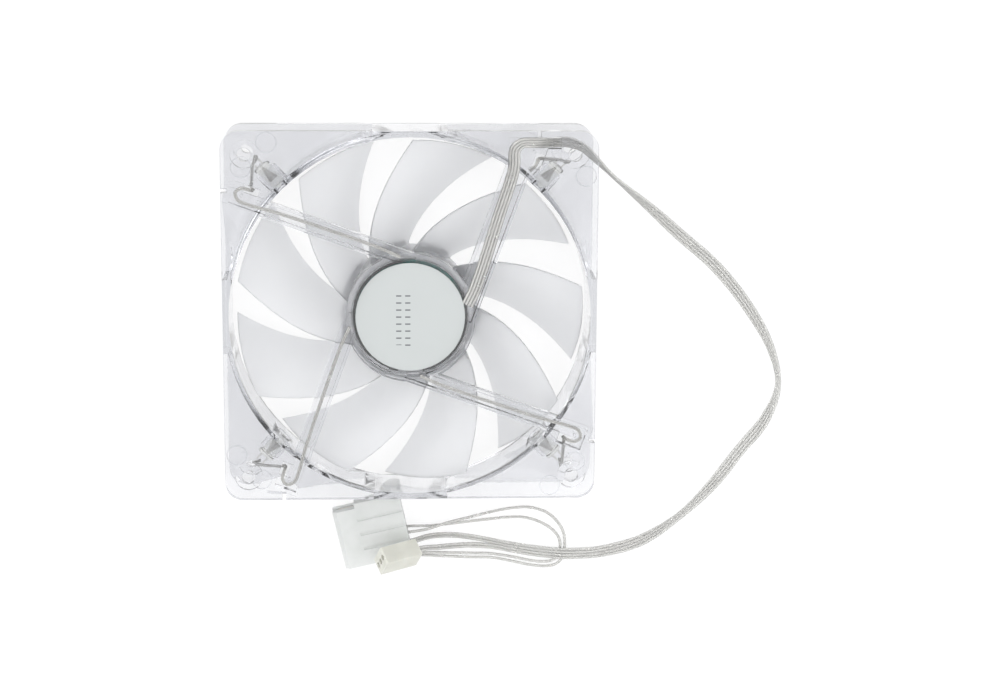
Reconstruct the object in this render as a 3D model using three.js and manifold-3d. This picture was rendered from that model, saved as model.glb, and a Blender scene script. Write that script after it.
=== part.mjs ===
// A 120 mm case fan with a clear housing and four corner lights, lying on its front face.
// Millimetres, +Z up. The origin is on the spin axis at the front face; the strut side is up.

import * as THREE from 'three';
import { mergeVertices } from 'three/addons/utils/BufferGeometryUtils.js';
import Module from 'manifold-3d';

// ---- Driving dimensions: housing ----
const frameSide = 120;          // width and height of the square frame
const frameDepth = 25;          // front face to rear face
const cornerRadius = 5.8;
const rimWall = 1.9;            // wall between the bore and the middle of each side
const ductWall = 1.7;           // wall of the round duct between the flanges
const flangeThickness = 3.6;
const sidePadLength = 24;       // full-depth wall at the middle of each side
const flareWidth = 4.8;         // how much wider the bore is at the front face
const flareDepth = 3.2;
const holeInset = 7.5;          // side face to each mounting hole's axis
const holeDiameter = 4.4;
const holeBossDiameter = 9.2;
const holeBossDepth = 1.2;      // sink around each mounting hole in the flange's inner side

// ---- Driving dimensions: motor base and struts ----
const baseRadius = 20.9;
const baseDepth = 4.6;          // rear face to the front edge of the base's skirt
const baseWall = 1.9;
const labelSink = 2.0;          // rear face to the floor that the label sits on
const floorThickness = 1.4;
const strutDepth = 4.0;
const strutFloor = 1.2;
const strutWall = 0.9;
const strutAngle = 70;          // direction of the first strut, degrees from +X
const strutWidths = [7.9, 5.4, 5.4, 5.4];
const strutOffsets = [15.85, 17.3, 17.3, 17.3];   // axis to the strut's centre line
const notchWidth = 1.3;
const notchDepth = 2.0;
const notchFromCorner = 19;     // outer side face to the middle of each edge slit
const postRadius = 0.5;

// ---- Driving dimensions: corner lights ----
const ledRadius = 2.5;
const ledFlangeRadius = 2.9;
const ledFlangeLength = 1.0;
const ledLength = 8.6;
const ledHeight = 12.5;         // front face to the light's axis
const ledHolderWall = 1.0;
const ledHolderLength = 7.0;
const ledPinSize = 0.5;
const ledPinPitch = 2.54;
const ledPinLength = 2.6;

// ---- Driving dimensions: impeller ----
const bladeCount = 9;
const hubRadius = 20.7;
const hubWall = 1.9;
const hubFaceThickness = 1.6;
const hubFrontInset = 1.0;      // front face of the frame to the hub's face
const tipClearance = 1.7;       // blade tip to bore
const bladeThickness = 1.5;
const firstTipAngle = 76;       // degrees from +X to the middle of the first blade's tip
const bladeRootFrontInset = 2.0;
const bladeRootRearInset = 1.0;
const bladeTipFrontInset = 4.2; // front face of the frame to the blade tip's leading corner
const bladeTipRearInset = 3.2;  // rear of the hub to the blade tip's trailing corner

// ---- Driving dimensions: motor ----
const shaftRadius = 1.5;
const bearingWall = 1.0;
const tubeWall = 1.2;
const yokeThickness = 1.2;
const magnetThickness = 2.0;
const magnetLength = 10;
const airGap = 0.6;
const poleCount = 4;
const coreHeight = 7;
const coreNeckWidth = 5;
const coreHubWall = 2.2;
const shoeThickness = 1.7;
const shoeSpan = 74;            // degrees of arc under each pole shoe
const bobbinPlate = 0.8;
const coilWall = 2.0;
const boardThickness = 1.0;
const boardToCore = 3.6;
const labelRadius = 17.6;
const labelThickness = 0.2;
const labelGap = 0.05;          // film of glue

// ---- Clearances ----
const fitGap = 0.25;            // round piece seated in a round piece
const seatGap = 0.3;            // face to face
const runningGap = 0.5;         // moving hub to the still motor base

// ---- Cable and plugs ----
const ribbonDiameter = 3.0;     // round solid that stands for the flat four-wire ribbon
const heldRibbonDiameter = 2.0;
const pairDiameter = 1.6;
const wireDiameter = 1.05;
const ledPairDiameter = 1.4;
const drivePlugLength = 23;
const drivePlugWidth = 21.6;
const drivePlugHeight = 8.6;
const drivePlugPitch = 5.08;
const drivePlugBore = 1.9;      // radius of each contact's cavity
const drivePlugStep = 1.6;      // how much narrower the mating end is
const grooveWidth = 1.0;        // grooves between the large plug's cavities
const grooveDepth = 0.4;
const fanPlugLength = 13.2;
const fanPlugWidth = 6.0;
const fanPlugHeight = 7.9;
const fanPlugPitch = 2.54;
const fanPlugBore = 1.0;
const contactWall = 0.4;
const contactInset = 2.0;       // large plug's mating end to its contacts
const driveWireBarrel = 1.2;    // radius of the crimped end
const fanContactInset = 1.0;
const fanWireBarrel = 0.6;

// ---- Derived sizes ----
const half = frameSide / 2;
const holePitch = frameSide - 2 * holeInset;
const boreRadius = half - rimWall;
const ductRadius = boreRadius + ductWall;
const tipRadius = boreRadius - tipClearance;
const floorRear = frameDepth - labelSink;
const floorFront = floorRear - floorThickness;
const skirtFront = frameDepth - baseDepth;
const skirtInner = baseRadius - baseWall;
const strutFront = frameDepth - strutDepth;
const channelFloor = strutFront + strutFloor;
const hubFront = hubFrontInset;
const hubRear = skirtFront - runningGap;
const cupFace = hubFront + hubFaceThickness;
const hubInner = hubRadius - hubWall;
const yokeOuter = hubInner - fitGap;
const yokeInner = yokeOuter - yokeThickness;
const magnetOuter = yokeInner - fitGap;
const magnetInner = magnetOuter - magnetThickness;
const coreRadius = magnetInner - airGap;
const bearingInner = shaftRadius + fitGap;
const bearingOuter = bearingInner + bearingWall;
const tubeInner = bearingOuter + fitGap;
const tubeOuter = tubeInner + tubeWall;
const boardRear = floorFront - seatGap;
const boardFront = boardRear - boardThickness;
const coreRear = boardFront - boardToCore;
const coreFront = coreRear - coreHeight;
const coreBore = tubeOuter + fitGap;
const coreHub = coreBore + coreHubWall;

const ductSegments = 72;
const hubSegments = 48;

const clearMaterial = () => new THREE.MeshStandardMaterial({
  color: 0xe6e8ee, roughness: 0.08, metalness: 0, transparent: true, opacity: 0.45 });
const frostMaterial = () => new THREE.MeshStandardMaterial({
  color: 0xdcdde2, roughness: 0.35, metalness: 0, transparent: true, opacity: 0.6 });
const steelMaterial = () => new THREE.MeshStandardMaterial({
  color: 0x9a9ca0, roughness: 0.35, metalness: 1 });
const ferriteMaterial = () => new THREE.MeshStandardMaterial({
  color: 0x3a3a3c, roughness: 0.7, metalness: 0.1 });
const bronzeMaterial = () => new THREE.MeshStandardMaterial({
  color: 0xa98450, roughness: 0.45, metalness: 0.9 });
const copperMaterial = () => new THREE.MeshStandardMaterial({
  color: 0xb86b3a, roughness: 0.35, metalness: 0.8 });
const nylonMaterial = () => new THREE.MeshStandardMaterial({
  color: 0xe4e6e3, roughness: 0.5, metalness: 0 });
const ivoryMaterial = () => new THREE.MeshStandardMaterial({
  color: 0xdcdccf, roughness: 0.5, metalness: 0 });
const boardMaterial = () => new THREE.MeshStandardMaterial({
  color: 0x1f8f7a, roughness: 0.4, metalness: 0 });
const blackMaterial = () => new THREE.MeshStandardMaterial({
  color: 0x1c1c1e, roughness: 0.5, metalness: 0 });
const labelMaterial = () => new THREE.MeshStandardMaterial({
  color: 0xd6dcdc, roughness: 0.4, metalness: 0.4 });
const wireMaterial = () => new THREE.MeshStandardMaterial({
  color: 0xbcbcb6, roughness: 0.3, metalness: 0.6 });
const tinMaterial = () => new THREE.MeshStandardMaterial({
  color: 0xb9b6a8, roughness: 0.35, metalness: 1 });

// ---- Solids ----
const wasm = await Module();
wasm.setup();

function toSolid(geometry, matrix = new THREE.Matrix4()) {
  const bare = geometry.clone().applyMatrix4(matrix);
  bare.deleteAttribute('normal');
  bare.deleteAttribute('uv');
  const merged = mergeVertices(bare, 1e-4);
  return new wasm.Manifold(new wasm.Mesh({
    numProp: 3,
    vertProperties: new Float32Array(merged.attributes.position.array),
    triVerts: new Uint32Array(merged.index.array),
  }));
}

function toGeometry(solid) {
  const mesh = solid.getMesh();
  const geometry = new THREE.BufferGeometry();
  geometry.setAttribute('position', new THREE.BufferAttribute(mesh.vertProperties, 3));
  geometry.setIndex(new THREE.BufferAttribute(mesh.triVerts, 1));
  geometry.computeVertexNormals();
  return geometry;
}

const radians = (degrees) => THREE.MathUtils.degToRad(degrees);
const moved = (x, y, z) => new THREE.Matrix4().makeTranslation(x, y, z);
const turned = (degrees) => new THREE.Matrix4().makeRotationZ(radians(degrees));
const joined = (solids) => solids.reduce((all, solid) => all.add(solid));
const cutBy = (solid, cutters) => cutters.reduce((left, cutter) => left.subtract(cutter), solid);

// A box between two corners.
function boxGeometry(x0, y0, z0, x1, y1, z1) {
  return new THREE.BoxGeometry(x1 - x0, y1 - y0, z1 - z0)
    .translate((x0 + x1) / 2, (y0 + y1) / 2, (z0 + z1) / 2);
}

// A body of revolution about Z from a closed or axis-to-axis profile of [radius, z] points.
function turnedGeometry(profile, segments) {
  const points = profile.map(([radius, z]) => new THREE.Vector2(radius, z));
  return new THREE.LatheGeometry(points, segments).rotateX(Math.PI / 2).rotateZ(Math.PI / 2);
}

const ringGeometry = (inner, outer, z0, z1, segments = 64) => turnedGeometry(
  [[inner, z0], [outer, z0], [outer, z1], [inner, z1], [inner, z0]], segments);
const discGeometry = (radius, z0, z1, segments = 48) => turnedGeometry(
  [[0, z0], [radius, z0], [radius, z1], [0, z1]], segments);

function roundedSquare(side, radius) {
  const s = side / 2;
  const shape = new THREE.Shape();
  shape.moveTo(s, -s + radius);
  shape.lineTo(s, s - radius);
  shape.absarc(s - radius, s - radius, radius, 0, Math.PI / 2);
  shape.lineTo(-s + radius, s);
  shape.absarc(-s + radius, s - radius, radius, Math.PI / 2, Math.PI);
  shape.lineTo(-s, -s + radius);
  shape.absarc(-s + radius, -s + radius, radius, Math.PI, 1.5 * Math.PI);
  shape.lineTo(s - radius, -s);
  shape.absarc(s - radius, -s + radius, radius, 1.5 * Math.PI, 2 * Math.PI);
  return shape;
}

const extruded = (shape, z0, z1, curveSegments = 8) => new THREE.ExtrudeGeometry(
  shape, { depth: z1 - z0, bevelEnabled: false, curveSegments }).translate(0, 0, z0);

// A round tube along a smooth curve through the given points.
function tubeGeometry(points, diameter, sides, steps) {
  const curve = new THREE.CatmullRomCurve3(points.map((p) => new THREE.Vector3(...p)), false,
    'centripetal');
  const section = new THREE.Shape();
  for (let i = 0; i < sides; i += 1) {
    const angle = (2 * Math.PI * (i + 0.5)) / sides;
    const x = Math.cos(angle) * diameter / 2;
    const y = Math.sin(angle) * diameter / 2;
    if (i === 0) section.moveTo(x, y);
    else section.lineTo(x, y);
  }
  section.closePath();
  return new THREE.ExtrudeGeometry(section, { steps, extrudePath: curve, bevelEnabled: false });
}

const group = new THREE.Group();
group.name = 'case_fan';

function place(name, geometry, material, parent = group) {
  const mesh = new THREE.Mesh(geometry, material);
  mesh.name = name;
  parent.add(mesh);
  return mesh;
}

// ---- Frame ----
// Each strut has its own axes: "along" runs outwards, "off" is its distance from the spin axis.
const strutDirection = (index) => strutAngle + 90 * index;
const strutMatrix = (index) => turned(strutDirection(index));
function strutPoint(index, along, off, z) {
  return new THREE.Vector3(along, -off, z).applyMatrix4(strutMatrix(index)).toArray();
}
const strutBox = (index, along0, along1, off0, off1, z0, z1) => toSolid(
  boxGeometry(along0, -off1, z0, along1, -off0, z1), strutMatrix(index));

// Corner pockets that the light's wire turns round in, at the outer end of each strut.
const pocketAlong = [half - 1.4, half + 7.2];
const pocketOff = [15.4, 22.6];
const postPlace = [half + 3.7, 18.8];
const diveAlong = [half - 1.2, half + 3.6];
const diveOff = [19.8, 22.6];

// Where the first strut's centre line runs into the ribbon's pocket, under the top edge.
const ribbonTurnY = half - 6;
const ribbonTurnX = (ribbonTurnY * Math.cos(radians(strutAngle)) + strutOffsets[0])
  / Math.sin(radians(strutAngle));
const channelEnd = pocketAlong[0] + 0.4;
const channelEndY = channelEnd * Math.sin(radians(strutAngle))
  - strutOffsets[0] * Math.cos(radians(strutAngle));
const ribbonPocket = {
  x: [ribbonTurnX - 5.1, ribbonTurnX + 3.5], y: [channelEndY - 0.2, ribbonTurnY + 3.9] };
const ribbonWindow = {
  x: [ribbonTurnX + 2.5, ribbonTurnX + 11.5], y: [ribbonTurnY + 0.4, ribbonTurnY + 3.9] };

// How far the corner of the frame reaches along a strut, to its side face less the rim.
function strutLimit(index, off) {
  const angle = radians(strutDirection(index));
  const reach = half - notchDepth - 0.2;
  const limits = [];
  const direction = [Math.cos(angle), Math.sin(angle)];
  const start = [off * Math.sin(angle), -off * Math.cos(angle)];
  for (const axis of [0, 1]) {
    limits.push((Math.sign(direction[axis]) * reach - start[axis]) / direction[axis]);
  }
  return Math.min(...limits);
}

function frameSolid() {
  const square = roundedSquare(frameSide, cornerRadius);
  const block = toSolid(extruded(square, 0, frameDepth));
  const flanges = [
    toSolid(extruded(square, 0, flangeThickness)),
    toSolid(extruded(square, frameDepth - flangeThickness, frameDepth)),
  ];
  const duct = toSolid(discGeometry(ductRadius, 0, frameDepth, ductSegments));
  const pad = sidePadLength / 2;
  const cross = [
    toSolid(boxGeometry(-half, -pad, 0, half, pad, frameDepth)),
    toSolid(boxGeometry(-pad, -half, 0, pad, half, frameDepth)),
  ];
  const holders = [0, 1, 2, 3].map((index) => toSolid(
    discGeometry(ledRadius + fitGap + ledHolderWall, boreRadius - 1, ledHolderEnd, 16),
    lightMatrix(index)));
  const shell = joined([...flanges, duct, ...cross, ...holders]).intersect(block);

  const bore = toSolid(discGeometry(boreRadius, -1, frameDepth + 1, ductSegments));
  const flareSteps = 4;
  const flareProfile = [[0, -1], [boreRadius + flareWidth, -1]];
  for (let i = 0; i <= flareSteps; i += 1) {
    const turn = (Math.PI / 2) * (i / flareSteps);
    flareProfile.push([
      boreRadius - 0.05 + flareWidth * (1 - Math.sin(turn)), flareDepth * (1 - Math.cos(turn))]);
  }
  flareProfile.push([0, flareDepth]);
  const flats = toSolid(boxGeometry(-boreRadius, -boreRadius, -2, boreRadius, boreRadius, frameDepth));
  const flare = toSolid(turnedGeometry(flareProfile, ductSegments)).intersect(flats);
  const place4 = [[1, 1], [-1, 1], [-1, -1], [1, -1]];
  const holes = place4.map(([sx, sy]) => toSolid(
    discGeometry(holeDiameter / 2, -1, frameDepth + 1, 16),
    moved(sx * holePitch / 2, sy * holePitch / 2, 0)));
  const sinks = place4.map(([sx, sy]) => toSolid(
    discGeometry(holeBossDiameter / 2, flangeThickness - holeBossDepth,
      frameDepth - flangeThickness + holeBossDepth, 16),
    moved(sx * holePitch / 2, sy * holePitch / 2, 0)));
  const ledBores = [0, 1, 2, 3].map((index) => toSolid(
    discGeometry(ledRadius + fitGap, boreRadius - 2, ledHolderEnd + 1, 16), lightMatrix(index)));
  const opened = cutBy(shell, [bore, flare, ...holes, ...sinks, ...ledBores]);

  // Motor base: skirt, floor and bearing tube.
  const skirt = toSolid(ringGeometry(skirtInner, baseRadius, skirtFront, frameDepth, hubSegments));
  const floor = toSolid(ringGeometry(tubeInner, skirtInner + 0.5, floorFront, floorRear,
    hubSegments));
  const tube = toSolid(ringGeometry(tubeInner, tubeOuter, tubeFront, floorRear, 24));

  const struts = [];
  const channels = [];
  const posts = [];
  for (let index = 0; index < 4; index += 1) {
    const off = strutOffsets[index];
    const halfWidth = strutWidths[index] / 2;
    struts.push(strutBox(index, 3, strutLimit(index, off + halfWidth), off - halfWidth,
      off + halfWidth, strutFront, frameDepth));
    channels.push(strutBox(index, 5, channelEnd, off - halfWidth + strutWall,
      off + halfWidth - strutWall, channelFloor, frameDepth + 1));
    channels.push(strutBox(index, pocketAlong[0], pocketEnd(index), ...pocketOff, channelFloor,
      frameDepth + 1));
    channels.push(strutBox(index, ...diveAlong, ...diveOff, strutFront - 1, frameDepth + 1));
    channels.push(notchSolid(index));
    posts.push(toSolid(discGeometry(postRadius, channelFloor - 0.2, frameDepth - 0.3, 12),
      moved(...strutPoint(index, ...postPlace, 0))));
  }
  // The ribbon turns in a pocket of its own and dives through a window between the flanges.
  for (const [area, z] of [[ribbonPocket, channelFloor], [ribbonWindow, strutFront - 1]]) {
    channels.push(toSolid(boxGeometry(area.x[0], area.y[0], z, area.x[1], area.y[1],
      frameDepth + 1)));
  }

  const inside = toSolid(discGeometry(skirtInner, floorRear, frameDepth + 1, hubSegments));
  const under = toSolid(discGeometry(skirtInner, skirtFront - 1, floorFront, hubSegments));
  const trimmedStruts = joined(struts).subtract(inside).subtract(under).intersect(block);
  const hubAndStruts = joined([skirt, floor, tube]).add(trimmedStruts);
  const shaftWay = toSolid(discGeometry(tubeInner, -1, frameDepth + 1, 24));
  return joined([cutBy(opened.add(hubAndStruts), channels), ...posts]).subtract(shaftWay);
}

const pocketEnd = (index) => Math.min(pocketAlong[1], strutLimit(index, pocketOff[0]) - 0.2);

// A slit in the rear flange's edge, in line with each pocket.
function notchSolid(index) {
  const side = turned(90 * index);
  const at = half - notchFromCorner;
  return toSolid(boxGeometry(at - notchWidth / 2, half - notchDepth, strutFront - 1,
    at + notchWidth / 2, half + 1, frameDepth + 1), side);
}

// ---- Corner lights ----
const ledHolderEnd = boreRadius + ledHolderLength;
const ledTip = boreRadius + seatGap;
const ledBase = ledTip + ledLength;

// Turns +Z into a corner's outward diagonal, at the light's height.
function lightMatrix(index) {
  const lay = new THREE.Matrix4().makeRotationY(Math.PI / 2);
  return moved(0, 0, ledHeight).multiply(turned(45 + 90 * index)).multiply(lay);
}

function lightSolid(index) {
  const dome = [[0, ledTip]];
  const domeSteps = 4;
  for (let i = 1; i <= domeSteps; i += 1) {
    const turn = (Math.PI / 2) * (i / domeSteps);
    dome.push([ledRadius * Math.sin(turn), ledTip + ledRadius * (1 - Math.cos(turn))]);
  }
  const flangeStart = ledBase - ledFlangeLength;
  const body = toSolid(turnedGeometry([...dome, [ledRadius, flangeStart],
    [ledFlangeRadius, flangeStart], [ledFlangeRadius, ledBase], [0, ledBase]], 16));
  const pins = [-1, 1].map((side) => {
    const y = side * ledPinPitch / 2;
    const p = ledPinSize / 2;
    return toSolid(boxGeometry(-p, y - p, ledBase - 0.3, p, y + p, ledBase + ledPinLength));
  });
  return joined([body, ...pins]).transform(lightMatrix(index).elements);
}

// ---- Impeller ----
// Leading and trailing edges as angles behind the blade tip's middle, at a share of the span.
const leadingAngle = (share) => 15.8 - 36.4 * share + 6.1 * share * share;
const trailingAngle = (share) => 51.5 - 52.5 * share + 14 * share * share;

function bladeSolid(index) {
  const spanSteps = 6;
  const chordSteps = 5;
  const rootRadius = hubRadius - hubWall * 0.6;
  const geometry = new THREE.BoxGeometry(1, 1, 1, spanSteps, chordSteps, 1);
  const positions = geometry.attributes.position;
  for (let i = 0; i < positions.count; i += 1) {
    const span = positions.getX(i) + 0.5;
    const chord = positions.getY(i) + 0.5;
    const side = positions.getZ(i);
    const radius = THREE.MathUtils.lerp(rootRadius, tipRadius, span);
    const share = (radius - hubRadius) / (tipRadius - hubRadius);
    const angle = firstTipAngle + (360 / bladeCount) * index
      + THREE.MathUtils.lerp(leadingAngle(share), trailingAngle(share), chord);
    const front = THREE.MathUtils.lerp(hubFront + bladeRootFrontInset, bladeTipFrontInset, share);
    const rear = hubRear - THREE.MathUtils.lerp(bladeRootRearInset, bladeTipRearInset, share);
    const camber = 1.2 * Math.sin(Math.PI * chord);
    const edgeThinning = 1 - 0.55 * Math.abs(2 * chord - 1) ** 3;
    const pitch = Math.atan2(rear - front,
      radius * radians(trailingAngle(share) - leadingAngle(share)));
    const lift = side * bladeThickness * edgeThinning;
    const slide = (lift * Math.sin(pitch)) / radius;
    const height = THREE.MathUtils.lerp(front, rear, chord) + camber + lift * Math.cos(pitch);
    const turn = radians(angle) - slide;
    positions.setXYZ(i, radius * Math.cos(turn), radius * Math.sin(turn), height);
  }
  return toSolid(geometry);
}

function impellerSolid() {
  const cup = toSolid(turnedGeometry([[0, hubFront], [hubRadius - 1, hubFront],
    [hubRadius, hubFront + 1], [hubRadius, hubRear], [hubInner, hubRear], [hubInner, cupFace],
    [bossRadius, cupFace], [bossRadius, bossRear], [shaftRadius + fitGap, bossRear],
    [shaftRadius + fitGap, shaftFront - seatGap], [0, shaftFront - seatGap]], hubSegments));
  const cavity = toSolid(discGeometry(hubInner, cupFace, hubRear + 1, hubSegments));
  const blades = [];
  for (let index = 0; index < bladeCount; index += 1) blades.push(bladeSolid(index));
  return joined([cup, ...blades.map((blade) => blade.subtract(cavity))]);
}

// ---- Motor ----
const bossRadius = 3.2;
const bossLength = 2.6;
const bossRear = cupFace + bossLength;
const shaftFront = hubFront + 0.9;
const tubeFront = bossRear + runningGap;
const shaftRear = floorRear - 1.3;
const clipThickness = 0.4;
const clipFront = shaftRear - 1.2;
const grooveRadius = 1.0;

function shaftSolid() {
  const groove = toSolid(ringGeometry(grooveRadius, shaftRadius + 1, clipFront - fitGap / 2,
    clipFront + clipThickness + fitGap / 2, 24));
  const rod = toSolid(turnedGeometry([[0, shaftFront], [shaftRadius, shaftFront],
    [shaftRadius, shaftRear - 0.3], [shaftRadius - 0.3, shaftRear], [0, shaftRear]], 24));
  return rod.subtract(groove);
}

function clipSolid() {
  const ring = toSolid(ringGeometry(grooveRadius + fitGap / 2, tubeInner - 0.6, clipFront,
    clipFront + clipThickness, 24));
  const slit = toSolid(boxGeometry(0, -0.5, clipFront - 1, tubeInner, 0.5, clipFront + 1));
  return ring.subtract(slit);
}

// Outline of the four-pole core: a hub, four necks and four curved shoes.
function coreSolid() {
  const ring = toSolid(ringGeometry(coreBore, coreHub, coreFront, coreRear, 24));
  const shoeRing = toSolid(ringGeometry(coreRadius - shoeThickness, coreRadius, coreFront,
    coreRear, hubSegments));
  const pieces = [ring];
  const wedges = [];
  for (let index = 0; index < poleCount; index += 1) {
    const matrix = turned((360 / poleCount) * index);
    const wedge = new THREE.Shape();
    const spread = radians(shoeSpan / 2);
    wedge.moveTo(0, 0);
    wedge.lineTo(coreRadius * 2 * Math.cos(spread), -coreRadius * 2 * Math.sin(spread));
    wedge.lineTo(coreRadius * 2 * Math.cos(spread), coreRadius * 2 * Math.sin(spread));
    wedges.push(toSolid(extruded(wedge, coreFront - 1, coreRear + 1), matrix));
    pieces.push(toSolid(boxGeometry(coreHub - 0.6, -coreNeckWidth / 2, coreFront,
      coreRadius - shoeThickness / 2, coreNeckWidth / 2, coreRear), matrix));
  }
  return joined([...pieces, shoeRing.intersect(joined(wedges))]);
}

// A bobbin half: a plate over the core's hub and necks, with a raised inner collar.
function bobbinSolid(near, away) {
  const outward = Math.sign(away - near);
  const z = [near, near + outward * bobbinPlate].sort((a, b) => a - b);
  const collar = [near, near + outward * (bobbinPlate + coilWall)].sort((a, b) => a - b);
  const pieces = [
    toSolid(ringGeometry(coreBore, coreHub, ...z, 24)),
    toSolid(ringGeometry(coreBore, coreBore + 0.9, ...collar, 24)),
  ];
  for (let index = 0; index < poleCount; index += 1) {
    pieces.push(toSolid(boxGeometry(coreHub - 0.6, -coreNeckWidth / 2, z[0],
      coreRadius - shoeThickness - 0.2, coreNeckWidth / 2, z[1]),
    turned((360 / poleCount) * index)));
  }
  return joined(pieces);
}

// A coil wound round one neck, with rounded corners.
function coilSolid(index) {
  const inner = coreHub + seatGap + 0.3;
  const holeY = coreNeckWidth / 2 + seatGap;
  const outer = Math.sqrt((coreRadius - shoeThickness) ** 2 - (holeY + coilWall) ** 2) - seatGap;
  const holeFront = coreFront - bobbinPlate - seatGap;
  const holeRear = coreRear + bobbinPlate + seatGap;
  const middle = (holeFront + holeRear) / 2;
  const tall = (holeRear - holeFront) / 2 + coilWall;
  const wide = holeY + coilWall;
  const round = 1.6;
  const outline = new THREE.Shape();
  outline.moveTo(wide, -tall + round);
  outline.lineTo(wide, tall - round);
  outline.absarc(wide - round, tall - round, round, 0, Math.PI / 2);
  outline.lineTo(-wide + round, tall);
  outline.absarc(-wide + round, tall - round, round, Math.PI / 2, Math.PI);
  outline.lineTo(-wide, -tall + round);
  outline.absarc(-wide + round, -tall + round, round, Math.PI, 1.5 * Math.PI);
  outline.lineTo(wide - round, -tall);
  outline.absarc(wide - round, -tall + round, round, 1.5 * Math.PI, 2 * Math.PI);
  const upright = new THREE.Matrix4().makeBasis(
    new THREE.Vector3(0, 1, 0), new THREE.Vector3(0, 0, 1), new THREE.Vector3(1, 0, 0));
  const block = toSolid(extruded(outline, inner, outer, 4), moved(0, 0, middle).multiply(upright));
  const opening = toSolid(boxGeometry(inner - 1, -holeY, holeFront, outer + 1, holeY, holeRear));
  return block.subtract(opening).transform(turned((360 / poleCount) * index).elements);
}

function boardSolid() {
  const disc = toSolid(ringGeometry(tubeOuter + 0.6, skirtInner - 0.5, boardFront, boardRear,
    hubSegments));
  const bite = toSolid(boxGeometry(-4, -skirtInner - 1, boardFront - 1, 4, -skirtInner + 2.2,
    boardRear + 1));
  return disc.subtract(bite);
}

const driverChip = { size: [4.2, 3.2, 1.4], at: [11.4, 9.6], turn: 40 };
const boardCapacitor = { radius: 1.6, length: 2.2, at: [-8.7, 8.3] };

// ---- Leads held by the frame ----
// Along, off and height of each light's lead in its strut, before it turns to the corner.
const leadHeight = channelFloor + ledPairDiameter / 2 + seatGap;
const leadStart = 9.4;
const leadOff = 17.6;
const cornerLeadStart = half + 0.4;
const cornerLeadOff = 20.9;
const pinEnd = ledBase + ledPinLength + seatGap;

function leadPoints(index) {
  const inStrut = [
    strutPoint(index, leadStart, leadOff, leadHeight),
    strutPoint(index, half / 2, leadOff, leadHeight),
    strutPoint(index, half - 8, 17.3, leadHeight),
    strutPoint(index, half + 0.5, 16.7, leadHeight),
    strutPoint(index, half + 4.6, 17.0, leadHeight),
    strutPoint(index, half + 5.9, 18.9, leadHeight),
    strutPoint(index, half + 4.6, 20.8, leadHeight),
    strutPoint(index, half + 1.8, 21.1, leadHeight - 0.4),
  ];
  const inCorner = [
    strutPoint(index, cornerLeadStart, cornerLeadOff, leadHeight),
    strutPoint(index, cornerLeadStart + 0.5, cornerLeadOff + 0.1, leadHeight),
  ];
  const start = index === 0 ? inCorner : inStrut;
  const corner = 45 + 90 * index;
  const nearPin = new THREE.Vector3(pinEnd, 0, ledHeight).applyMatrix4(turned(corner)).toArray();
  const abovePin = new THREE.Vector3(pinEnd + 1.2, -1.5, ledHeight + 3)
    .applyMatrix4(turned(corner)).toArray();
  return [...start, strutPoint(index, half + 0.7, 21.0, strutFront - 1.2),
    strutPoint(index, half + 1.6, 21.6, strutFront - 3.2), abovePin, nearPin];
}

// ---- Build ----
place('frame', toGeometry(frameSolid()), clearMaterial());
place('impeller', toGeometry(impellerSolid()), frostMaterial());
place('flux_ring', ringGeometry(yokeInner, yokeOuter, cupFace + seatGap, hubRear - seatGap,
  hubSegments), steelMaterial());
const magnetMiddle = (coreFront + coreRear) / 2;
place('rotor_magnet', ringGeometry(magnetInner, magnetOuter, magnetMiddle - magnetLength / 2,
  magnetMiddle + magnetLength / 2, hubSegments), ferriteMaterial());
place('shaft', toGeometry(shaftSolid()), steelMaterial());
place('retaining_clip', toGeometry(clipSolid()), blackMaterial());
place('sleeve_bearing', ringGeometry(bearingInner, bearingOuter, tubeFront + 1,
  clipFront - 1.4, 24), bronzeMaterial());
place('thrust_washer', ringGeometry(bearingInner, bearingOuter, clipFront - 0.9,
  clipFront - 0.5, 24), blackMaterial());
place('bearing_cap', discGeometry(tubeInner - fitGap, floorRear - 0.7, floorRear - 0.1, 24),
  nylonMaterial());
place('stator_core', toGeometry(coreSolid()), steelMaterial());
place('bobbin_front', toGeometry(bobbinSolid(coreFront - seatGap / 2, coreFront - 9)),
  nylonMaterial());
place('bobbin_rear', toGeometry(bobbinSolid(coreRear + seatGap / 2, coreRear + 9)),
  nylonMaterial());
for (let index = 0; index < poleCount; index += 1) {
  place(`coil_${index + 1}`, toGeometry(coilSolid(index)), copperMaterial());
}
place('circuit_board', toGeometry(boardSolid()), boardMaterial());

const chip = place('driver_chip', new THREE.BoxGeometry(...driverChip.size), blackMaterial());
chip.position.set(...driverChip.at, boardFront - seatGap / 2 - driverChip.size[2] / 2);
chip.rotation.z = radians(driverChip.turn);
const capacitor = place('board_capacitor', discGeometry(boardCapacitor.radius,
  -boardCapacitor.length, 0, 16), tinMaterial());
capacitor.position.set(...boardCapacitor.at, boardFront - seatGap / 2);

place('label', discGeometry(labelRadius, floorRear + labelGap,
  floorRear + labelGap + labelThickness, hubSegments), labelMaterial());

for (let index = 0; index < 4; index += 1) {
  place(`corner_light_${index + 1}`, toGeometry(lightSolid(index)), frostMaterial());
  place(`light_lead_${index + 1}`, tubeGeometry(leadPoints(index), ledPairDiameter, 8,
    index === 0 ? 10 : 20), wireMaterial());
}

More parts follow.
